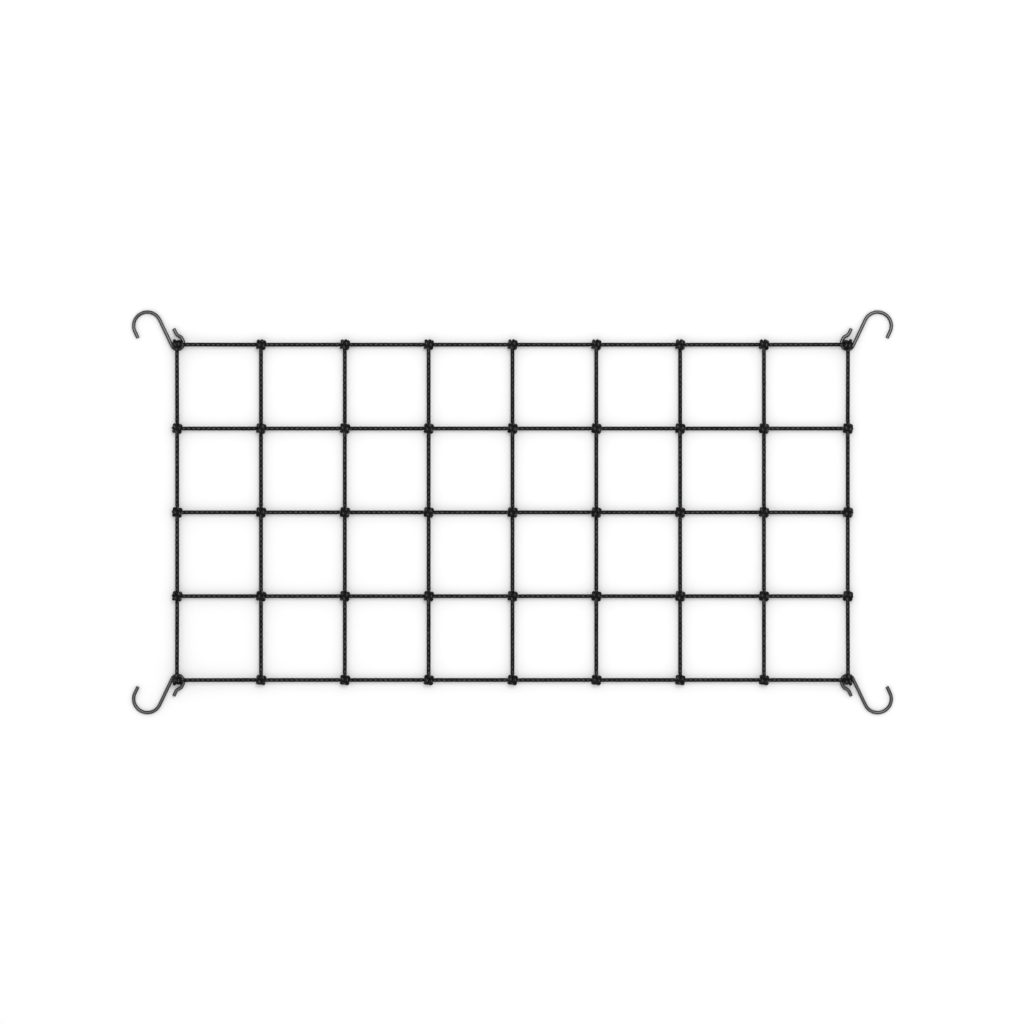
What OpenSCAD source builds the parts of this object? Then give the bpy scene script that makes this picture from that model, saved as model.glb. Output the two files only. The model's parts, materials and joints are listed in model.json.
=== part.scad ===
// Elastic cord net with an open wire hook at each corner.
// It lies flat and relaxed: X along its long side, Y along its short side, Z up,
// with the origin on the floor under its middle.

/* [Net] */
// Side of one relaxed square, from knot to knot
square = 101.6; // [80:0.1:160]
// Outer diameter of the woven cord
cord_d = 4.6; // [3.5:0.1:5]
// Wall of the woven sheath
sheath_wall = 0.5; // [0.3:0.1:0.8]
// Room between the rubber core and its sheath
core_room = 0.1; // [0.05:0.05:0.2]

/* [Knots] */
// Radius of a knot where two cords cross
knot_r = 6.5; // [6:0.1:7.5]
// Half the height of a knot, which is flattened where it lies on the floor
knot_half_h = 6.4; // [5.9:0.1:7]
// Radius of a corner knot, which is tied round the hook wire
corner_knot_r = 6.8; // [6.4:0.1:8]
// Room left round a knot for the cords that turn about it
turning_gap = 0.3; // [0.2:0.1:0.6]

/* [Hook] */
// Diameter of the hook wire
wire_d = 4.2; // [3.5:0.1:5]
// Radius of the big open bend, to the middle of the wire
bend_r = 16.6; // [12:0.1:22]
// Straight shank between the big bend and the eye
shank_l = 35.2; // [25:0.1:50]
// Straight tail past the big bend
tail_l = 8.8; // [4:0.1:15]
// Radius of the eye that holds the corner knot, to the middle of the wire
eye_r = 7.4; // [7:0.1:9]
// Offset of the eye's centre from the knot, along the long side and the short side
eye_offset = [0.3, 1.7]; // [0:0.1:2]
// Straight leg between the eye and the joggle
leg_l = 3.2; // [2:0.1:6]
// Sine of the joggle's angle, which narrows the mouth of the eye
joggle_sine = 0.6; // [0.28, 0.6]
// Radius of the joggle's two bends
joggle_r = 4.8; // [3:0.1:6]
// Straight run between the joggle's two bends
joggle_run = 3.3; // [2:0.1:6]
// Straight tip past the joggle
tip_l = 6.7; // [4:0.1:10]
// Chamfer on each cut end of the wire
wire_chamfer = 0.5; // [0.2:0.1:1]
// Turn of the shank away from the long side
shank_a = 115.5; // [105:0.5:125]
// Height of the wire's middle where the corner knot holds it
eye_h = 4.9; // [4.5:0.1:6]
// Height of the cords' middle at a corner, where they pass over the wire
corner_h = 10.4; // [10:0.1:11]

/* [Hidden] */
$fn = 64;

columns = 8;
rows = 4;
root_panel = 4;
cord_r = cord_d / 2;
bore_r = cord_r - sheath_wall;
core_r = bore_r - core_room;
wire_r = wire_d / 2;
// A knot's flat sides are as wide as the cord that meets them
knot_flat = sqrt(knot_r * knot_r - cord_r * cord_r);
turn_start = knot_r + turning_gap;
corner_start = corner_knot_r + turning_gap;
// A cross cord's runs stand this far off the knots that it ties
knot_seam = 0.05;
joggle_a = asin(joggle_sine);
half_x = columns * square / 2;
half_y = rows * square / 2;

// The hook slopes from the knot down to the floor at the far side of its big bend
eye_start = eye_offset + eye_r * [cos(shank_a + 90), sin(shank_a + 90)];
bend_centre = eye_start + shank_l * [cos(shank_a), sin(shank_a)]
    + bend_r * [cos(shank_a + 90), sin(shank_a + 90)];
reach = bend_centre * [-1, 1] / sqrt(2) + bend_r;
slope_a = asin((eye_h - wire_r) / reach);

CORNERS = ["back_left", "back_right", "front_left", "front_right"];

function column_x(c) = (c - 1) * square - half_x;
function row_y(r) = half_y - (r - 1) * square;
function at_side(i, last) = i == 1 || i == last;
function is_corner(c, r) = at_side(c, columns + 1) && at_side(r, rows + 1);
function crossing(c, r) = [column_x(c), row_y(r), is_corner(c, r) ? corner_h : knot_half_h];
// The panel whose cross cords are c: each panel carries the one on its outer side
function panel_of(c) = c <= root_panel ? c : c - 1;
// How far from a crossing the long cord of panel p begins
function long_start(p, c, r) =
    is_corner(c, r) ? corner_start : panel_of(c) == p ? knot_flat : turn_start;
function cross_start(c, r) = is_corner(c, r) ? corner_start : knot_flat + knot_seam;

// Rod of radius r between the middles of two crossings, cut square to the net
// at a distance of start and finish from them
module run(from, to, start, finish, r) {
    d = to - from;
    flat_l = norm([d.x, d.y]);
    translate(from) rotate([0, 0, atan2(d.y, d.x)]) intersection() {
        rotate([0, 90 - atan2(d.z, flat_l), 0]) cylinder(r = r, h = norm(d));
        translate([start, -2 * cord_d, -2 * cord_d])
            cube([flat_l - start - finish, 4 * cord_d, 4 * cord_d]);
    }
}

module sheath(from, to, start, finish) {
    difference() {
        run(from, to, start, finish, cord_r);
        run(from, to, start - 1, finish - 1, bore_r);
    }
}

module long_sheath(p, r) {
    sheath(crossing(p, r), crossing(p + 1, r), long_start(p, p, r), long_start(p, p + 1, r));
}

module long_core(p, r) {
    run(crossing(p, r), crossing(p + 1, r), long_start(p, p, r), long_start(p, p + 1, r), core_r);
}

module back_edge_cord(p) {
    color("#2b2b2d") long_sheath(p, 1);
}

module front_edge_cord(p) {
    color("#2b2b2d") long_sheath(p, rows + 1);
}

module inner_long_cords(p) {
    color("#2b2b2d") for (r = [2:rows]) long_sheath(p, r);
}

module knot() {
    intersection() {
        sphere(r = knot_r);
        cube([2 * knot_flat, 2 * knot_flat, 2 * knot_half_h], center = true);
    }
}

// One cross cord: its runs between the rows, and the knots that it ties
module cross_cord(c) {
    color("#242426") {
        for (r = [1:rows])
            sheath(crossing(c, r), crossing(c, r + 1), cross_start(c, r), cross_start(c, r + 1));
        for (r = [1:rows + 1])
            if (!is_corner(c, r)) translate(crossing(c, r)) knot();
    }
}

// The rubber inside every run of cord of one panel
module rubber_cores(p) {
    color("#b9a98c") {
        for (r = [1:rows + 1]) long_core(p, r);
        for (c = [1:columns + 1])
            if (panel_of(c) == p)
                for (r = [1:rows])
                    run(crossing(c, r), crossing(c, r + 1),
                        cross_start(c, r), cross_start(c, r + 1), core_r);
    }
}

// Puts what is drawn for the back left corner at the corner of that name
module at_corner(corner) {
    right = corner == "back_right" || corner == "front_right";
    front = corner == "front_left" || corner == "front_right";
    mirror([right ? 1 : 0, 0, 0]) mirror([0, front ? 1 : 0, 0])
        translate([-half_x, half_y, 0]) children();
}

// Lays the hook's plane down from the knot towards the floor
module hook_plane() {
    translate([0, 0, eye_h]) rotate(a = -slope_a, v = [1, 1, 0]) children();
}

// Two flattened halves round the wire, joined through the eye
module corner_knot(corner) {
    slot_r = wire_r + turning_gap;
    color("#242426") at_corner(corner) difference() {
        translate([0, 0, corner_knot_r - 0.1]) intersection() {
            sphere(r = corner_knot_r);
            cube([3 * corner_knot_r, 3 * corner_knot_r, 2 * corner_knot_r - 0.2], center = true);
        }
        hook_plane() translate(eye_offset) rotate_extrude() {
            translate([eye_r, 0]) circle(r = slot_r);
            translate([eye_r, -slot_r]) square([2 * corner_knot_r, 2 * slot_r]);
        }
    }
}

// Straight wire along +X, with what follows at its end
module wire(l) {
    rotate([0, 90, 0]) cylinder(r = wire_r, h = l);
    translate([l, 0, 0]) children();
}

// Wire bent to the left of +X, or to the right where a is negative
module wire_bend(r, a) {
    side = sign(a);
    translate([0, side * r, 0]) {
        rotate([0, 0, a > 0 ? -90 : 90 + a])
            rotate_extrude(angle = abs(a)) translate([r, 0]) circle(r = wire_r);
        rotate([0, 0, a]) translate([0, -side * r, 0]) children();
    }
}

module wire_end() {
    rotate([0, 90, 0]) cylinder(r1 = wire_r, r2 = wire_r - wire_chamfer, h = wire_chamfer);
}

// The wire as it is bent: from the eye along the shank to the big bend, and from
// the eye's other side through the joggle to its tip
module hook(corner) {
    color("#5b5c5f") at_corner(corner) hook_plane() translate(eye_offset) {
        rotate([0, 0, shank_a]) translate([0, eye_r, 0]) {
            wire(shank_l) wire_bend(bend_r, 180) wire(tail_l - wire_chamfer) wire_end();
            rotate([0, 0, 180]) wire_bend(eye_r, 180) wire(leg_l)
                wire_bend(joggle_r, joggle_a) wire(joggle_run)
                wire_bend(joggle_r, -joggle_a) wire(tip_l - wire_chamfer) wire_end();
        }
    }
}

for (p = [1:columns]) {
    back_edge_cord(p);
    front_edge_cord(p);
    inner_long_cords(p);
    rubber_cores(p);
}
for (c = [1:columns + 1])
    cross_cord(c);
for (corner = CORNERS) {
    corner_knot(corner);
    hook(corner);
}
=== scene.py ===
"""Looks of the elastic net with four wire hooks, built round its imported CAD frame.

Every cord is swept as a braided sheath along its own centreline, through each knot that it
ties, and every hook as a drawn and bent wire. All lengths are in metres.
"""

import json
import math

import bpy
import numpy as np
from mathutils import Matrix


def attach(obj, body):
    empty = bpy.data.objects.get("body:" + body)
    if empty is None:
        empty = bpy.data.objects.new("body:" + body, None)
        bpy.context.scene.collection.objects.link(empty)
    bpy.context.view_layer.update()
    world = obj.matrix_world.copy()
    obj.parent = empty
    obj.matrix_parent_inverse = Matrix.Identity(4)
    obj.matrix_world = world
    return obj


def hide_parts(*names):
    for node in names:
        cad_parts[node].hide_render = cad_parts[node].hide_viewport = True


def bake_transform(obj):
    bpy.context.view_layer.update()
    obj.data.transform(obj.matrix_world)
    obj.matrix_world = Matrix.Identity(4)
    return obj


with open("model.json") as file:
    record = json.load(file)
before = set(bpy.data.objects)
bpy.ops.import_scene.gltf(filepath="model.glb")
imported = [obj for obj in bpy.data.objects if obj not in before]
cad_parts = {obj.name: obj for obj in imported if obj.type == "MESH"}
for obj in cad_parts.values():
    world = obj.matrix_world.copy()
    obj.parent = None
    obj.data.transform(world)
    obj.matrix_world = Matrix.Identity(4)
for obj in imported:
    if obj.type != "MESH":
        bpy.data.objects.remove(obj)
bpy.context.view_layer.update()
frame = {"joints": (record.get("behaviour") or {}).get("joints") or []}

MM = 0.001
JOINTS = {joint["name"]: joint for joint in frame["joints"]}
CORNERS = ("back_left", "back_right", "front_left", "front_right")

# The net's crossings, placed by the hinges on its inner cross cords
COLUMNS = 9
ROWS = 5
SQUARE = JOINTS["fold_at_cross_cord_3"]["pos_m"][0] - JOINTS["fold_at_cross_cord_2"]["pos_m"][0]
LAY_Z = JOINTS["fold_at_cross_cord_2"]["pos_m"][2]
MIDDLE_COLUMN = 5
MIDDLE_ROW = 3
COLUMN_X = {c: (c - MIDDLE_COLUMN) * SQUARE for c in range(1, COLUMNS + 1)}
ROW_Y = {r: (MIDDLE_ROW - r) * SQUARE for r in range(1, ROWS + 1)}

# Braided sheath. The cord is squeezed up to LOOSE_FROM from a knot's middle, and full
# again LOOSENING further out.
CORD_R = 2.48 * MM
SQUEEZED_R = 2.1 * MM
LOOSE_FROM = 5.0 * MM
LOOSENING = 4.0 * MM
# The braid: how deep its gaps are, how many strands wind round in each direction, how
# many yarns lie side by side in a strand, and how far along one crossing is from the next
RELIEF = 0.3 * MM
RELIEF_USED = 0.8
STRANDS = 4
YARNS = 6
BRAID_PITCH = 6.1 * MM
# The mesh of the sheath
RING_STEP = 0.5 * MM
RING_SIDES = 36
CUT_ROUNDING = 1.4 * MM
# The most that a cord's braid is rolled round its own axis at a knot, in degrees
MOST_ROLL = 9
# The least height of a cord above the floor
FLOOR_GAP = 0.02 * MM

# Where a straight run hands over to the part of the cord that bends through a knot
KNOT_REACH = 15 * MM
CORNER_REACH = 17 * MM
# How far above a corner knot's middle its cords leave it, to pass over the wire
CORNER_LIFT = 3.7 * MM

# Hook, in the sizes of the CAD
WIRE_R = 2.1 * MM
EYE_R = 7.4 * MM
SHANK = 35.2 * MM
BEND_R = 16.6 * MM
TAIL = 8.8 * MM
LEG = 3.2 * MM
JOGGLE_R = 4.8 * MM
JOGGLE_ANGLE = math.asin(0.6)
JOGGLE_RUN = 3.3 * MM
TIP = 6.7 * MM
SHANK_ANGLE = math.radians(115.5)
# The mesh of the wire, how its cut ends are dressed, and its gap to the corner knot
WIRE_SIDES = 40
WIRE_STEP = 0.4 * MM
END_DRESSING = 0.7 * MM
END_SHARE = 0.72
WIRE_GAP = 0.3 * MM

# Centreline of each cord through an inner knot, in millimetres from the knot's middle
CROSS_THROUGH_KNOT = (
    (0, 12, 0), (0, 9.5, 0), (0.4, 7.0, 0.8), (0.9, 4.6, 2.8), (1.4, 1.5, 4.3),
    (2.3, -1.8, 3.8), (2.9, -4.1, 1.3), (2.4, -4.4, -1.6), (0.2, -2.6, -4.1),
    (-1.6, 0.8, -4.3), (-2.9, 3.9, -1.8), (-2.9, 4.0, 1.4), (-1.9, 1.7, 4.4),
    (-0.5, -1.2, 4.9), (0.0, -4.3, 3.6), (0, -7.0, 0.9), (0, -9.5, 0), (0, -12, 0),
)
LONG_THROUGH_KNOT = (
    (-12, 0, 0), (-9.5, 0, 0), (-7.2, 0, 0.1), (-5.0, 0, 0.5), (-3.0, 0.2, 1.6),
    (1.0, 2.0, 1.2), (4.0, 3.1, 0.9), (4.3, 2.5, -1.8), (0.8, 0.0, -1.6),
    (-4.0, -2.6, -1.8), (-4.0, -2.9, 1.0), (-1.0, -1.8, 1.6), (2.6, -0.4, 2.6),
    (4.9, 0.1, 2.3), (7.2, 0, 0.7), (9.5, 0, 0), (12, 0, 0),
)
# How many of those points are left off where a cord ends inside its knot
POINTS_CUT = 3

# How a knot is drawn tight. Room is the distance below which two centrelines push each
# other away, and a barrel holds them in by its radius, its height and its depth. The
# last three say how strongly a round smooths, pushes apart and pulls back.
CURVE_STEP = 0.5 * MM
KNOT_STEP = 0.8 * MM
KNOT_INSIDE = 6.5 * MM
KNOT_HELD = 9 * MM
KNOT_WIDENING = 1.25
KNOT_ROOM = 4.05 * MM
KNOT_BARREL = (5.4 * MM, 4.25 * MM, 4.25 * MM)
CORNER_WIDENING = 1.22
CORNER_ROOM = 3.9 * MM
CORNER_BARREL = (5.7 * MM, 4.55 * MM, 3.2 * MM)
CORNER_RAISE = 1.5 * MM
CORNER_NARROWING = 0.7
CORNER_POINTS_OUT = 6
WIRE_ROOM = 3.4 * MM
TIGHTEN_ROUNDS = 260
SMOOTHING = 0.15
PUSHING = 0.3
HOMING = 0.05


# Small vector helpers

def unit(vectors):
    """The same directions with a length of one."""
    return vectors / np.linalg.norm(vectors, axis=-1, keepdims=True)


def smoothstep(t):
    """Eases from 0 to 1 while t goes from 0 to 1."""
    t = np.clip(t, 0, 1)
    return t * t * (3 - 2 * t)


def arc_length(path):
    """Distance along a path, for each of its points."""
    steps = np.linalg.norm(np.diff(path, axis=0), axis=1)
    return np.concatenate([[0], np.cumsum(steps)])


def resample(path, step):
    """The same path with points that are about one step apart."""
    s = arc_length(path)
    count = max(2, int(round(s[-1] / step)) + 1)
    even = np.linspace(0, s[-1], count)
    return np.stack([np.interp(even, s, path[:, k]) for k in range(3)], axis=1)


def curve_through(points, step):
    """A smooth curve through given points, by Catmull and Rom."""
    p = np.array(points, float)
    p = np.vstack([2 * p[0] - p[1], p, 2 * p[-1] - p[-2]])
    t = np.linspace(0, 1, 12, endpoint=False)[:, None]
    pieces = []
    for a, b, c, d in zip(p[:-3], p[1:-2], p[2:-1], p[3:]):
        pieces.append(0.5 * (2 * b + (c - a) * t + (2 * a - 5 * b + 4 * c - d) * t**2
                             + (3 * b - a - 3 * c + d) * t**3))
    pieces.append(p[-2:-1])
    return resample(np.vstack(pieces), step)


def spread_out(strand, share):
    """Widens the part of a strand that lies inside its knot."""
    inside = np.linalg.norm(strand[:, :2], axis=1) < KNOT_INSIDE
    strand[:, :2] *= np.where(inside, share, 1)[:, None]
    return strand


# Knots

def wire_ring():
    """The back left eye's centre and normal, as seen from its knot's middle."""
    tilt = np.array(JOINTS["tilt_back_left"]["pos_m"])
    swing = JOINTS["swing_back_left"]
    return np.array(swing["pos_m"]) - tilt, unit(np.array(swing["axis"]))


EYE_CENTRE, EYE_NORMAL = wire_ring()


def off_the_wire(points, clearance):
    """Moves points out of the ring that the hook's eye sweeps as it swings."""
    local = points - EYE_CENTRE
    h = local @ EYE_NORMAL
    flat = local - h[:, None] * EYE_NORMAL
    rho = np.linalg.norm(flat, axis=1)
    outward = flat / np.maximum(rho, 1e-9)[:, None]
    dr = np.minimum(rho - EYE_R, 0)
    d = np.maximum(np.hypot(dr, h), 1e-9)
    grow = np.where(d < clearance, clearance / d, 1)
    rho_new = np.where(rho < EYE_R, EYE_R + dr * grow, rho)
    return EYE_CENTRE + outward * rho_new[:, None] + (h * grow)[:, None] * EYE_NORMAL


def push_apart(points, strand_of, place_on, room):
    """The way and how far each point is pushed by strands that are closer than room."""
    gap = points[:, None, :] - points[None, :, :]
    distance = np.linalg.norm(gap, axis=2)
    same = strand_of[:, None] == strand_of[None, :]
    near = same & (np.abs(place_on[:, None] - place_on[None, :]) < 1.7 * room)
    overlap = np.where(near, 0, np.clip(room - distance, 0, None))
    return (gap / np.maximum(distance, 1e-9)[:, :, None] * overlap[:, :, None]).sum(axis=1)


def drawn_in(points, barrel):
    """Keeps points within a barrel."""
    radius, height, depth = barrel
    away = np.maximum(np.linalg.norm(points[:, :2], axis=1), 1e-9)
    points = points.copy()
    points[:, :2] *= np.minimum(1, radius / away)[:, None]
    points[:, 2] = np.clip(points[:, 2], -depth, height)
    return points


def tighten(strands, room, barrel, tied_to_wire=False):
    """Draws a knot's strands tight against each other, with their far ends held."""
    strands = [resample(s, KNOT_STEP) for s in strands]
    sizes = [len(s) for s in strands]
    points = np.vstack(strands)
    strand_of = np.repeat(np.arange(len(sizes)), sizes)
    place_on = np.concatenate([arc_length(s) for s in strands])
    first = np.concatenate([[0], np.cumsum(sizes)[:-1]])
    last = np.cumsum(sizes) - 1
    ends = np.concatenate([first, last])
    held = np.linalg.norm(points[:, :2], axis=1) > KNOT_HELD
    held[ends] = True
    home = points.copy()
    for _ in range(TIGHTEN_ROUNDS):
        smooth = points.copy()
        smooth[1:-1] = 0.5 * (points[:-2] + points[2:])
        smooth[ends] = points[ends]
        points = points + SMOOTHING * (smooth - points)
        points = points + PUSHING * push_apart(points, strand_of, place_on, room)
        points = points + HOMING * (home - points)
        if tied_to_wire:
            points = off_the_wire(points, WIRE_ROOM)
        points = np.where(held[:, None], home, drawn_in(points, barrel))
    return [points[a:b + 1] for a, b in zip(first, last)]


def millimetres(points):
    """Metres from a list of points in millimetres."""
    return np.array(points, float) * MM


def inner_knot(cross_from=0, cross_to=None, long_from=0, long_to=None):
    """Both cords' centrelines through a knot; the cuts are where a cord ends inside it."""
    cross = spread_out(millimetres(CROSS_THROUGH_KNOT[cross_from:cross_to]), KNOT_WIDENING)
    long = spread_out(millimetres(LONG_THROUGH_KNOT[long_from:long_to]), KNOT_WIDENING)
    curves = [curve_through(cross, CURVE_STEP), curve_through(long, CURVE_STEP)]
    return tighten(curves, KNOT_ROOM, KNOT_BARREL)


def corner_knot():
    """The back left corner's knot, tied round the wire, with its cords leaving over it."""
    cross = spread_out(millimetres(CROSS_THROUGH_KNOT[POINTS_CUT:]), CORNER_WIDENING)
    long = spread_out(millimetres(LONG_THROUGH_KNOT[POINTS_CUT:]), CORNER_WIDENING)
    for strand in (cross, long):
        away = np.linalg.norm(strand[:, :2], axis=1)
        above = strand[:, 2] > 0
        strand[:, :2] *= np.where(above, 1, CORNER_NARROWING)[:, None]
        strand[:, 2] += np.where(above, CORNER_RAISE, 0)
        leaving = np.arange(len(strand)) > len(strand) - CORNER_POINTS_OUT
        out = smoothstep((away - 3 * MM) / (4 * MM)) * leaving
        drop = CORNER_LIFT - away * CORNER_LIFT / SQUARE
        strand[:, 2] = strand[:, 2] * (1 - out) + drop * out
    curves = [curve_through(cross, CURVE_STEP), curve_through(long, CURVE_STEP)]
    return tighten(curves, CORNER_ROOM, CORNER_BARREL, tied_to_wire=True)


# Sweeping a sheath or a wire along a centreline

def carried_frames(path):
    """Unit tangents, and normals carried along the path without twist."""
    tangents = unit(np.gradient(path, axis=0))
    tangents[0] = unit(path[2] - path[0])
    tangents[-1] = unit(path[-1] - path[-3])
    normals = np.zeros_like(path)
    normals[0] = upward(tangents[0])
    for i in range(1, len(path)):
        n = normals[i - 1] - tangents[i] * (normals[i - 1] @ tangents[i])
        normals[i] = n / np.linalg.norm(n)
    return tangents, normals


def upward(tangent):
    """The most upright direction that is square to a tangent."""
    up = np.array([0, 0, 1.0]) - tangent * tangent[2]
    return up / np.linalg.norm(up)


def turned_frames(path, roll_in, roll_out):
    """Frames whose normals stand roll_in from upright at the start and roll_out at the end."""
    tangents, normals = carried_frames(path)
    side = np.cross(tangents[-1], normals[-1])
    up = upward(tangents[-1])
    residual = math.atan2(up @ side, up @ normals[-1])
    share = smoothstep(arc_length(path) / arc_length(path)[-1])
    roll = roll_in + (residual + roll_out - roll_in) * share
    sides = np.cross(tangents, normals)
    c, s = np.cos(roll)[:, None], np.sin(roll)[:, None]
    turned = normals * c + sides * s
    return tangents, turned, np.cross(tangents, turned)


def braid_height(around, along):
    """Height of a plain braid, from 0 in its gaps to 1 on its crowns."""
    a = around - along
    b = around + along
    i, j = np.round(a), np.round(b)
    over_a = 0.5 * np.cos(np.pi * (b - i)) + 0.5 * (1 - (2 * (a - i)) ** 2)
    over_b = -0.5 * np.cos(np.pi * (a - j)) + 0.5 * (1 - (2 * (b - j)) ** 2)
    return np.maximum(over_a, over_b)


def tube_points(path, frames, radius, sides):
    """Rings of points; radius holds one row for each ring."""
    _, normals, binormals = frames
    angle = np.linspace(0, 2 * np.pi, sides, endpoint=False)
    c = np.cos(angle)[None, :, None]
    s = np.sin(angle)[None, :, None]
    outward = normals[:, None, :] * c + binormals[:, None, :] * s
    return path[:, None, :] + radius[:, :, None] * outward


def tube_mesh(name, rings, around, along):
    """A closed tube with flat ends. The attribute surface holds the place on it."""
    count, sides = rings.shape[:2]
    points = rings.reshape(-1, 3)
    middles = np.stack([rings[0].mean(axis=0), rings[-1].mean(axis=0)])
    points = np.vstack([points, middles])
    i = np.repeat(np.arange(count - 1), sides)
    k = np.tile(np.arange(sides), count - 1)
    after = (k + 1) % sides
    quads = np.stack([i * sides + k, i * sides + after,
                      (i + 1) * sides + after, (i + 1) * sides + k], axis=1)
    u = np.stack([k, k + 1, k + 1, k], axis=1) * around / sides
    v = np.stack([along[i], along[i], along[i + 1], along[i + 1]], axis=1)
    k = np.arange(sides)
    after = (k + 1) % sides
    foot, head = len(points) - 2, len(points) - 1
    top = (count - 1) * sides
    caps = np.vstack([np.stack([np.full(sides, foot), after, k], axis=1),
                      np.stack([np.full(sides, head), top + k, top + after], axis=1)])
    cap_v = np.repeat([along[0], along[-1]], sides * 3)
    corners = np.concatenate([quads.ravel(), caps.ravel()])
    starts = np.concatenate([np.arange(len(quads)) * 4,
                             len(quads) * 4 + np.arange(len(caps)) * 3])
    place = np.zeros((len(corners), 3), np.float32)
    place[:quads.size, 0] = u.ravel()
    place[:quads.size, 1] = v.ravel()
    place[quads.size:, 1] = cap_v
    mesh = bpy.data.meshes.new(name)
    mesh.vertices.add(len(points))
    mesh.vertices.foreach_set("co", points.astype(np.float32).ravel())
    mesh.loops.add(len(corners))
    mesh.loops.foreach_set("vertex_index", corners.astype(np.int32))
    mesh.polygons.add(len(starts))
    mesh.polygons.foreach_set("loop_start", starts.astype(np.int32))
    mesh.update(calc_edges=True)
    flat = mesh.attributes.new("sharp_face", "BOOLEAN", "FACE")
    flat.data.foreach_set("value", np.arange(len(starts)) >= len(quads))
    surface = mesh.attributes.new("surface", "FLOAT_VECTOR", "CORNER")
    surface.data.foreach_set("vector", place.ravel())
    mesh.validate()
    return mesh


def join_meshes(name, meshes):
    """One object from several tubes, each still closed in itself."""
    objects = []
    for k, mesh in enumerate(meshes):
        piece = bpy.data.objects.new(name if k == 0 else f"{name}_{k}", mesh)
        bpy.context.scene.collection.objects.link(piece)
        objects.append(piece)
    if len(objects) > 1:
        chosen = {"active_object": objects[0], "object": objects[0],
                  "selected_editable_objects": objects, "selected_objects": objects}
        with bpy.context.temp_override(**chosen):
            bpy.ops.object.join()
    return objects[0]


# Materials

class Nodes:
    """A short way to write a material's node tree."""

    def __init__(self, name):
        self.material = bpy.data.materials.new(name)
        self.material.use_nodes = True
        self.tree = self.material.node_tree
        self.shader = self.tree.nodes["Principled BSDF"]

    def link(self, source, target):
        """Joins a socket to an input, or sets the input to a plain value."""
        if hasattr(source, "is_linked"):
            self.tree.links.new(source, target)
        else:
            target.default_value = source

    def math(self, operation, a, b=0.0):
        """One arithmetic step on values or sockets."""
        node = self.tree.nodes.new("ShaderNodeMath")
        node.operation = operation
        self.link(a, node.inputs[0])
        self.link(b, node.inputs[1])
        return node.outputs[0]

    def pick(self, share, low, high):
        """low where share is 0 and high where it is 1."""
        node = self.tree.nodes.new("ShaderNodeMix")
        self.link(share, node.inputs[0])
        self.link(low, node.inputs[2])
        self.link(high, node.inputs[3])
        return node.outputs[0]

    def surface(self):
        """The place on a tube, as tube_mesh writes it: how far around, and how far along."""
        node = self.tree.nodes.new("ShaderNodeAttribute")
        node.attribute_name = "surface"
        split = self.tree.nodes.new("ShaderNodeSeparateXYZ")
        self.tree.links.new(node.outputs["Vector"], split.inputs[0])
        return split.outputs[0], split.outputs[1]

    def vector(self, x, y, z):
        """One vector from three values or sockets."""
        node = self.tree.nodes.new("ShaderNodeCombineXYZ")
        for source, target in zip((x, y, z), node.inputs):
            self.link(source, target)
        return node.outputs[0]

    def noise(self, vector, scale, detail):
        """A fractal noise from 0 to 1."""
        node = self.tree.nodes.new("ShaderNodeTexNoise")
        node.inputs["Scale"].default_value = scale
        node.inputs["Detail"].default_value = detail
        self.link(vector, node.inputs["Vector"])
        return node.outputs["Fac"]

    def times(self, a, b):
        return self.math("MULTIPLY", a, b)

    def plus(self, a, b):
        return self.math("ADD", a, b)

    def minus(self, a, b):
        return self.math("SUBTRACT", a, b)

    def cosine(self, a):
        return self.math("COSINE", a)

    def ramp(self, value, stops):
        """A colour ramp; stops are (place, colour), and a single number is a grey."""
        node = self.tree.nodes.new("ShaderNodeValToRGB")
        elements = node.color_ramp.elements
        stops = [(place, colour if isinstance(colour, tuple) else (colour,) * 3)
                 for place, colour in stops]
        for element, (place, colour) in zip(elements, (stops[0], stops[-1])):
            element.position = place
            element.color = (*colour, 1)
        for place, colour in stops[1:-1]:
            elements.new(place).color = (*colour, 1)
        self.link(value, node.inputs[0])
        return node.outputs[0]

    def bump(self, height, distance, strength, under=None):
        """A normal tilted by a height; under is the normal that it builds on."""
        node = self.tree.nodes.new("ShaderNodeBump")
        node.inputs["Distance"].default_value = distance
        node.inputs["Strength"].default_value = strength
        self.link(height, node.inputs["Height"])
        if under is not None:
            self.link(under, node.inputs["Normal"])
        return node.outputs[0]


def round_the_tube(nodes, around, along, turns, radius, stretch):
    """A point for noise that has no seam where the tube closes on itself."""
    angle = nodes.times(around, 2 * math.pi / turns)
    x = nodes.times(nodes.cosine(angle), radius)
    y = nodes.times(nodes.math("SINE", angle), radius)
    return nodes.vector(x, y, nodes.times(along, stretch))


def braid_fields(nodes, around, along):
    """Which set of strands is on top, the place across its strand, and its height."""
    a = nodes.minus(around, along)
    b = nodes.plus(around, along)
    i = nodes.math("ROUND", a)
    j = nodes.math("ROUND", b)
    across_a = nodes.minus(a, i)
    across_b = nodes.minus(b, j)
    lift_a = nodes.cosine(nodes.times(nodes.minus(b, i), math.pi))
    lift_b = nodes.cosine(nodes.times(nodes.minus(a, j), math.pi))
    height_a = nodes.minus(lift_a, nodes.times(nodes.times(across_a, across_a), 4.0))
    height_b = nodes.minus(nodes.times(lift_b, -1.0),
                           nodes.times(nodes.times(across_b, across_b), 4.0))
    a_on_top = nodes.math("GREATER_THAN", height_a, height_b)
    across = nodes.pick(a_on_top, across_b, across_a)
    return a_on_top, across, nodes.math("MAXIMUM", height_a, height_b)


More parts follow.
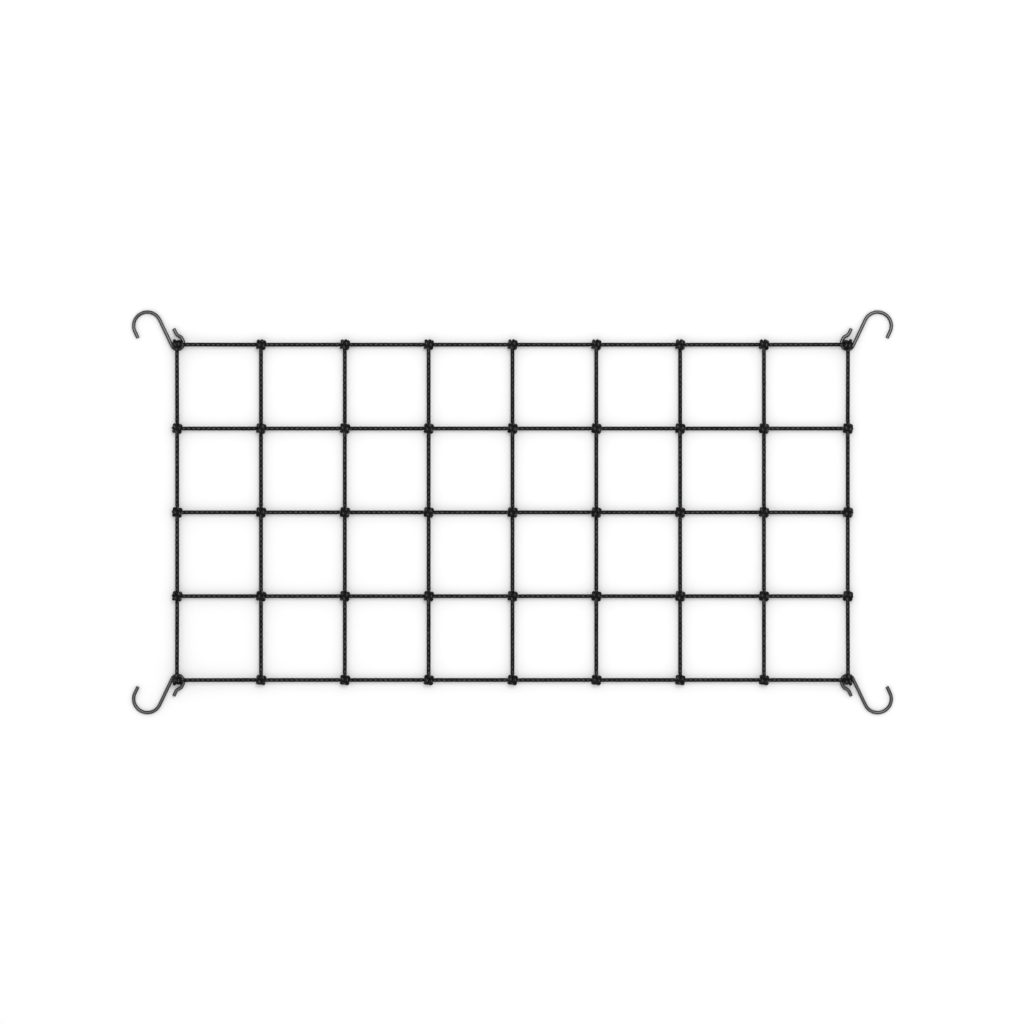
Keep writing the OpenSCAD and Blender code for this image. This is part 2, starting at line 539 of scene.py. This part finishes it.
def sheath_material():
    """Woven polyester sheath: strands of parallel yarns, near black, with a dull sheen, and
    painted light and shade on its braid.
    """
    nodes = Nodes("woven_sheath")
    around, along = nodes.surface()
    a_on_top, across, height = braid_fields(nodes, around, along)
    yarn = nodes.cosine(nodes.times(across, 2 * math.pi * YARNS))
    tube = round_the_tube(nodes, around, along, STRANDS, 0.64, 1.0)
    fibres = nodes.noise(tube, 9.0, 4.0)
    fading = nodes.noise(tube, 0.35, 1.0)
    # Painted light: the braid's crowns are painted lighter and its gaps darker as painted shade,
    # and one set of strands is painted lit and the other painted shaded
    tone = nodes.plus(nodes.times(height, 0.22), 0.5)
    tone = nodes.times(tone, nodes.pick(a_on_top, 0.62, 1.15))
    tone = nodes.plus(tone, nodes.times(yarn, 0.07))
    tone = nodes.plus(tone, nodes.times(nodes.minus(fibres, 0.5), 0.5))
    tone = nodes.plus(tone, nodes.times(nodes.minus(fading, 0.5), 0.35))
    colour = nodes.ramp(tone, [(0.0, 0.0005), (0.38, 0.002), (0.6, 0.014), (0.95, 0.085)])
    nodes.link(colour, nodes.shader.inputs["Base Color"])
    rough = nodes.plus(nodes.times(fibres, 0.25), 0.5)
    nodes.link(rough, nodes.shader.inputs["Roughness"])
    fine = nodes.bump(yarn, 0.05 * MM, 0.6)
    coarse = nodes.bump(fibres, 0.06 * MM, 0.5, under=fine)
    nodes.link(coarse, nodes.shader.inputs["Normal"])
    nodes.shader.inputs["Sheen Weight"].default_value = 0.015
    nodes.shader.inputs["Sheen Roughness"].default_value = 0.45
    nodes.shader.inputs["Specular IOR Level"].default_value = 0.07
    return nodes.material


def wire_material():
    """Drawn steel wire with a thin dark satin coat, painted lighter above and below as a
    highlight and darker at its sides as painted shade, with spots of wear.
    """
    nodes = Nodes("dark_wire")
    around, along = nodes.surface()
    drawn = round_the_tube(nodes, around, along, 1.0, WIRE_R / MM, 0.04)
    spotted = round_the_tube(nodes, around, along, 1.0, WIRE_R / MM, 1.0)
    lines = nodes.noise(drawn, 3.5, 4.0)
    mottle = nodes.noise(spotted, 0.5, 3.0)
    rubbed = nodes.noise(spotted, 1.6, 5.0)
    # Spots of wear are where all three noises are high
    wear = nodes.times(lines, nodes.times(rubbed, mottle))
    wear = nodes.times(nodes.minus(wear, 0.19), 9.0)
    wear = nodes.math("MINIMUM", nodes.math("MAXIMUM", wear, 0.0), 1.0)
    # Painted highlight: a band along the top and the bottom of the wire is painted lighter, and
    # its sides darker as painted shade
    turn = nodes.cosine(nodes.times(around, 2 * math.pi))
    painted_top_highlight = nodes.times(nodes.times(turn, turn), 0.5)
    colour = nodes.ramp(nodes.plus(painted_top_highlight, nodes.times(wear, 0.5)),
                        [(0.0, (0.010, 0.010, 0.011)), (0.3, (0.024, 0.024, 0.025)),
                         (0.5, (0.125, 0.125, 0.127)), (1.0, (0.26, 0.26, 0.255))])
    nodes.link(colour, nodes.shader.inputs["Base Color"])
    rough = nodes.plus(nodes.times(mottle, 0.2), 0.2)
    nodes.link(rough, nodes.shader.inputs["Roughness"])
    nodes.shader.inputs["Metallic"].default_value = 1.0
    scratch = nodes.bump(lines, 0.03 * MM, 0.5)
    orange_peel = nodes.bump(rubbed, 0.03 * MM, 0.35, under=scratch)
    nodes.link(orange_peel, nodes.shader.inputs["Normal"])
    return nodes.material


def floor_material():
    """Matt white paper sweep with the faintest unevenness."""
    nodes = Nodes("paper_floor")
    place = nodes.tree.nodes.new("ShaderNodeTexCoord").outputs["Object"]
    tone = nodes.noise(place, 2.0, 2.0)
    colour = nodes.ramp(tone, [(0.0, 0.90), (1.0, 0.93)])
    nodes.link(colour, nodes.shader.inputs["Base Color"])
    nodes.shader.inputs["Roughness"].default_value = 0.9
    nodes.shader.inputs["Specular IOR Level"].default_value = 0.1
    return nodes.material


# Camera, light and floor

# The camera and the light are in metres, millimetres of sensor and watts
CAMERA_HEIGHT = 6.0
SENSOR_WIDTH = 36
SQUARES_SEEN = 12.216
CAMERA_OFFSET = (-0.6 * MM, 0.4 * MM)
LIGHT_PLACE = (0.5, 0.9, 2.9)
LIGHT_SIZE = 1.2
LIGHT_POWER = 20
WORLD_AT_HORIZON = 0.52
WORLD_OVERHEAD = 1.17
FLOOR_HALF = 6.0


def add_camera():
    """Straight above the net, from far enough away to see it nearly without perspective."""
    width_seen = SQUARES_SEEN * SQUARE
    camera = bpy.data.objects.new("camera", bpy.data.cameras.new("camera"))
    camera.data.sensor_width = SENSOR_WIDTH
    camera.data.lens = SENSOR_WIDTH * (CAMERA_HEIGHT - LAY_Z) / width_seen
    camera.data.clip_end = 50
    camera.location = (*CAMERA_OFFSET, CAMERA_HEIGHT)
    bpy.context.scene.collection.objects.link(camera)
    bpy.context.scene.camera = camera


def add_soft_box():
    """A round area light from the back right, aimed at the net's middle."""
    light = bpy.data.lights.new("soft_box", "AREA")
    light.shape = "DISK"
    light.size = LIGHT_SIZE
    light.energy = LIGHT_POWER
    lamp = bpy.data.objects.new("soft_box", light)
    x, y, z = LIGHT_PLACE
    lamp.location = LIGHT_PLACE
    lamp.rotation_euler = (math.atan2(math.hypot(x, y), z), 0, math.atan2(x, -y))
    lamp.visible_camera = False
    bpy.context.scene.collection.objects.link(lamp)


def add_world():
    """A white studio, brighter overhead than at the horizon."""
    world = bpy.data.worlds.new("studio")
    world.use_nodes = True
    tree = world.node_tree
    direction = tree.nodes.new("ShaderNodeTexCoord").outputs["Generated"]
    split = tree.nodes.new("ShaderNodeSeparateXYZ")
    tree.links.new(direction, split.inputs[0])
    brighter_above = tree.nodes.new("ShaderNodeMapRange")
    brighter_above.inputs["To Min"].default_value = WORLD_AT_HORIZON
    brighter_above.inputs["To Max"].default_value = WORLD_OVERHEAD
    tree.links.new(split.outputs[2], brighter_above.inputs["Value"])
    background = tree.nodes["Background"].inputs
    tree.links.new(brighter_above.outputs[0], background["Strength"])
    background["Color"].default_value = (1, 1, 1, 1)
    bpy.context.scene.world = world
    bpy.context.scene.view_settings.view_transform = "Standard"


def add_floor():
    """The paper that the net lies on."""
    mesh = bpy.data.meshes.new("floor")
    half = FLOOR_HALF
    mesh.from_pydata([(-half, -half, 0), (half, -half, 0), (half, half, 0), (-half, half, 0)],
                     [], [(0, 1, 2, 3)])
    mesh.materials.append(floor_material())
    floor = bpy.data.objects.new("floor", mesh)
    bpy.context.scene.collection.objects.link(floor)


# Cords

SHEATH = sheath_material()
WIRE = wire_material()
KNOTS = {
    "inner": inner_knot(),
    "back": inner_knot(cross_from=POINTS_CUT),
    "front": inner_knot(cross_to=-POINTS_CUT),
    "left": inner_knot(long_from=POINTS_CUT),
    "right": inner_knot(long_to=-POINTS_CUT),
    "corner": corner_knot(),
}
ROLLS = np.random.default_rng(7)


def corner_at(column, row):
    """The corner's name at a crossing, or nothing."""
    if column in (1, COLUMNS) and row in (1, ROWS):
        return ("back" if row == 1 else "front") + "_" + ("left" if column == 1 else "right")
    return None


def knot_kind(column, row):
    """Which of the KNOTS is tied at a crossing."""
    if corner_at(column, row):
        return "corner"
    if row in (1, ROWS):
        return "back" if row == 1 else "front"
    if column in (1, COLUMNS):
        return "left" if column == 1 else "right"
    return "inner"


def mirror_of(corner):
    """Turns the back left corner into the one of that name."""
    return np.array([-1 if "right" in corner else 1, -1 if "front" in corner else 1, 1.0])


def crossing(column, row):
    """The middle of a knot."""
    corner = corner_at(column, row)
    height = JOINTS["tilt_" + corner]["pos_m"][2] if corner else LAY_Z
    return np.array([COLUMN_X[column], ROW_Y[row], height])


def strand(column, row, which):
    """A cord's centreline through one knot, which is 0 for the cross cord and 1 for the long."""
    path = KNOTS[knot_kind(column, row)][which]
    corner = corner_at(column, row)
    if corner:
        path = path * mirror_of(corner)
        if (which == 0 and "front" in corner) or (which == 1 and "right" in corner):
            path = path[::-1]
    return path + crossing(column, row)


def outside_point(here, direction):
    """Where a cord's straight run meets the part that bends through the knot at here."""
    at_corner = corner_at(*here)
    middle = crossing(*here)
    reach = CORNER_REACH if at_corner else KNOT_REACH
    point = middle + direction * reach
    if at_corner:
        point[2] = middle[2] + CORNER_LIFT - CORNER_LIFT * reach / SQUARE
    return point


def cord_path(crossings, which):
    """Knots and straight runs of one cord in turn, as (kind, column, row, points)."""
    along = unit((crossing(*crossings[1]) - crossing(*crossings[0])) * [1, 1, 0])
    last = len(crossings) - 1
    knots = []
    for k, here in enumerate(crossings):
        points = [strand(*here, which)]
        if k > 0:
            points.insert(0, outside_point(here, -along)[None])
        if k < last:
            points.append(outside_point(here, along)[None])
        knots.append(np.vstack(points))
    parts = []
    for k, here in enumerate(crossings):
        parts.append(("knot", *here, knots[k]))
        if k < last:
            parts.append(("run", *here, np.stack([knots[k][-1], knots[k + 1][0]])))
    return parts


def cord_radius(path, middle):
    """Radius along a path: full outside the knot, and squeezed inside it."""
    away = np.linalg.norm((path - middle)[:, :2], axis=1)
    loose = smoothstep((away - LOOSE_FROM) / LOOSENING)
    return SQUEEZED_R + (CORD_R - SQUEEZED_R) * loose


def round_off(radius, path, at_start, at_end):
    """Rounds a cord's own end, where it stops inside a knot."""
    s = arc_length(path)
    for cut, left in ((at_start, s), (at_end, s[-1] - s)):
        if cut:
            t = np.clip(left / CUT_ROUNDING, 0, 1)
            radius = radius * np.sqrt(np.clip(1 - (1 - t) ** 2, 0.02, 1))
    return radius


def sheath_rings(path, radius, roll_in, roll_out, start_phase):
    """Rings of a braided sheath, and how far along its braid each one is."""
    frames = turned_frames(path, roll_in, roll_out)
    along = start_phase + arc_length(path) / BRAID_PITCH
    around = np.arange(RING_SIDES) * STRANDS / RING_SIDES
    height = braid_height(around[None, :], along[:, None])
    depth = RELIEF * radius[:, None] / CORD_R * (1 - height) * RELIEF_USED
    return tube_points(path, frames, radius[:, None] - depth, RING_SIDES), along


def shape_at_knot(rings, column, row):
    """Keeps a knot off the floor, and off the wire at a corner."""
    corner = corner_at(column, row)
    if corner:
        points = (rings.reshape(-1, 3) - crossing(column, row)) * mirror_of(corner)
        points = off_the_wire(points, WIRE_R + WIRE_GAP)
        rings = (points * mirror_of(corner) + crossing(column, row)).reshape(rings.shape)
    high = 2 * crossing(column, row)[2] - FLOOR_GAP
    rings[:, :, 2] = np.clip(rings[:, :, 2], FLOOR_GAP, high)
    return rings


def cord_meshes(name, crossings, which):
    """The meshes of one cord from end to end, as (kind, column, row, mesh)."""
    meshes = []
    phase = ROLLS.uniform(0, 1)
    roll = math.radians(ROLLS.uniform(-MOST_ROLL, MOST_ROLL))
    parts = cord_path(crossings, which)
    for k, (kind, column, row, points) in enumerate(parts):
        path = resample(points, RING_STEP)
        if kind == "run":
            radius = np.full(len(path), CORD_R)
            roll_out = roll
        else:
            path = smooth_path(path)
            radius = cord_radius(path, crossing(column, row))
            radius = round_off(radius, path, k == 0, k == len(parts) - 1)
            roll_out = math.radians(ROLLS.uniform(-MOST_ROLL, MOST_ROLL))
        rings, along = sheath_rings(path, radius, roll, roll_out, phase)
        if kind == "knot":
            rings = shape_at_knot(rings, column, row)
        label = f"{name}_{kind}_{column}_{row}"
        meshes.append((kind, column, row, tube_mesh(label, rings, STRANDS, along)))
        roll, phase = roll_out, along[-1]
    return meshes


def smooth_path(path, rounds=6):
    """Takes small corners out of a path whose ends stay where they are."""
    path = path.copy()
    for _ in range(rounds):
        path[1:-1] += 0.5 * (0.5 * (path[:-2] + path[2:]) - path[1:-1])
    return path


def add_cord_piece(name, meshes):
    """One visible piece of sheath."""
    piece = join_meshes(name, meshes)
    piece.data.materials.clear()
    piece.data.materials.append(SHEATH)
    return piece


def bend_at_fold(piece):
    """Bakes a piece's transform into its mesh, where the net folds along an inner cross cord."""
    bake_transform(piece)


def bend_at_corner(piece):
    """Bakes a corner knot's transform into its mesh."""
    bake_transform(piece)


def place_knot_piece(piece, column, row):
    """Bakes a piece's transform into its mesh at its knot, or puts it on the end panel."""
    corner = corner_at(column, row)
    if corner:
        bend_at_corner(piece)
    elif column in (1, COLUMNS):
        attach(piece, "panel_1" if column == 1 else f"panel_{COLUMNS - 1}")
    else:
        bend_at_fold(piece)


def long_node(row, panel):
    """The CAD node that holds a long cord's run."""
    if row == 1:
        return f"back_edge_cord_{panel}"
    return f"front_edge_cord_{panel}" if row == ROWS else f"inner_long_cords_{panel}"


def add_long_cord(row):
    """One long cord: straight runs that ride on their panels, and bends at the knots."""
    name = f"long_cord_{row}"
    crossings = [(column, row) for column in range(1, COLUMNS + 1)]
    for kind, column, _, mesh in cord_meshes(name, crossings, 1):
        if kind == "run":
            piece = add_cord_piece(f"{name}_run_{column}", [mesh])
            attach(piece, f"panel_{column}")
            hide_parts(long_node(row, column))
            # The cores are wholly hidden in the sheaths, so the middle cord stands for them
            if row == MIDDLE_ROW:
                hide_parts(f"rubber_cores_{column}")
        else:
            piece = add_cord_piece(f"{name}_knot_{column}", [mesh])
            place_knot_piece(piece, column, row)
            if corner_at(column, row):
                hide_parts("corner_knot_" + corner_at(column, row))


def add_cross_cord(column):
    """One cross cord. All of it is baked in place, or rides on the end panel."""
    name = f"cross_cord_{column}"
    inner = []
    in_corners = []
    for kind, _, row, mesh in cord_meshes(name, [(column, r) for r in range(1, ROWS + 1)], 0):
        if kind == "knot" and corner_at(column, row):
            in_corners.append((row, mesh))
        else:
            inner.append(mesh)
    piece = add_cord_piece(name + "_sheath", inner)
    place_knot_piece(piece, column, MIDDLE_ROW)
    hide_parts(name)
    for row, mesh in in_corners:
        end = add_cord_piece(f"{name}_knot_{row}", [mesh])
        place_knot_piece(end, column, row)
        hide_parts("corner_knot_" + corner_at(column, row))


# Hooks

def go_straight(path, heading, length):
    """A straight piece of wire."""
    step = length * np.array([math.cos(heading), math.sin(heading)])
    return path + [path[-1] + step], heading


def go_round(path, heading, radius, angle):
    """A bend to the left, or to the right where the angle is negative."""
    side = math.copysign(1, angle)
    centre = path[-1] + side * radius * np.array([-math.sin(heading), math.cos(heading)])
    count = max(3, int(radius * abs(angle) / WIRE_STEP))
    path = list(path)
    for turn in np.linspace(0, angle, count + 1)[1:]:
        a = heading + turn
        path.append(centre - side * radius * np.array([-math.sin(a), math.cos(a)]))
    return path, heading + angle


def hook_outline():
    """The wire's centreline in the hook's own plane, from its tail to its tip."""
    start = [np.array([0.0, EYE_R])]
    shank, heading = go_straight(start, 0.0, SHANK)
    shank, heading = go_round(shank, heading, BEND_R, math.pi)
    shank, heading = go_straight(shank, heading, TAIL)
    eye, heading = go_round(start, math.pi, EYE_R, math.pi)
    eye, heading = go_straight(eye, heading, LEG)
    eye, heading = go_round(eye, heading, JOGGLE_R, JOGGLE_ANGLE)
    eye, heading = go_straight(eye, heading, JOGGLE_RUN)
    eye, heading = go_round(eye, heading, JOGGLE_R, -JOGGLE_ANGLE)
    eye, heading = go_straight(eye, heading, TIP)
    outline = np.array(shank[::-1] + eye[1:])
    c, s = math.cos(SHANK_ANGLE), math.sin(SHANK_ANGLE)
    return outline @ np.array([[c, s], [-s, c]])


def hook_path(corner):
    """The same centreline laid in the plane in which that corner's hook swings."""
    swing = JOINTS["swing_back_left"]
    normal = unit(np.array(swing["axis"], float))
    tilt_axis = np.array([1, 1, 0]) / math.sqrt(2)
    out_axis = np.cross(normal, tilt_axis)
    x_axis = (tilt_axis - out_axis) / math.sqrt(2)
    y_axis = (tilt_axis + out_axis) / math.sqrt(2)
    outline = hook_outline()
    path = outline[:, :1] * x_axis + outline[:, 1:] * y_axis
    return path * mirror_of(corner) + np.array(JOINTS["swing_" + corner]["pos_m"])


def add_hook(corner):
    """One hook of bent wire, with its cut ends dressed round."""
    path = resample(hook_path(corner), WIRE_STEP)
    s = arc_length(path)
    from_end = np.minimum(s, s[-1] - s)
    dressed = np.clip(from_end / END_DRESSING, 0, 1)
    radius = WIRE_R * (END_SHARE + (1 - END_SHARE) * np.sqrt(1 - (1 - dressed) ** 2))
    frames = turned_frames(path, 0.0, 0.0)
    radius = np.repeat(radius[:, None], WIRE_SIDES, axis=1)
    rings = tube_points(path, frames, radius, WIRE_SIDES)
    mesh = tube_mesh("hook_wire_" + corner, rings, 1.0, s / MM)
    piece = join_meshes("hook_wire_" + corner, [mesh])
    piece.data.materials.append(WIRE)
    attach(piece, "hanger_" + corner)
    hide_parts("hook_" + corner)


add_camera()
add_soft_box()
add_world()
add_floor()
for row in range(1, ROWS + 1):
    add_long_cord(row)
for column in range(1, COLUMNS + 1):
    add_cross_cord(column)
for corner in CORNERS:
    add_hook(corner)
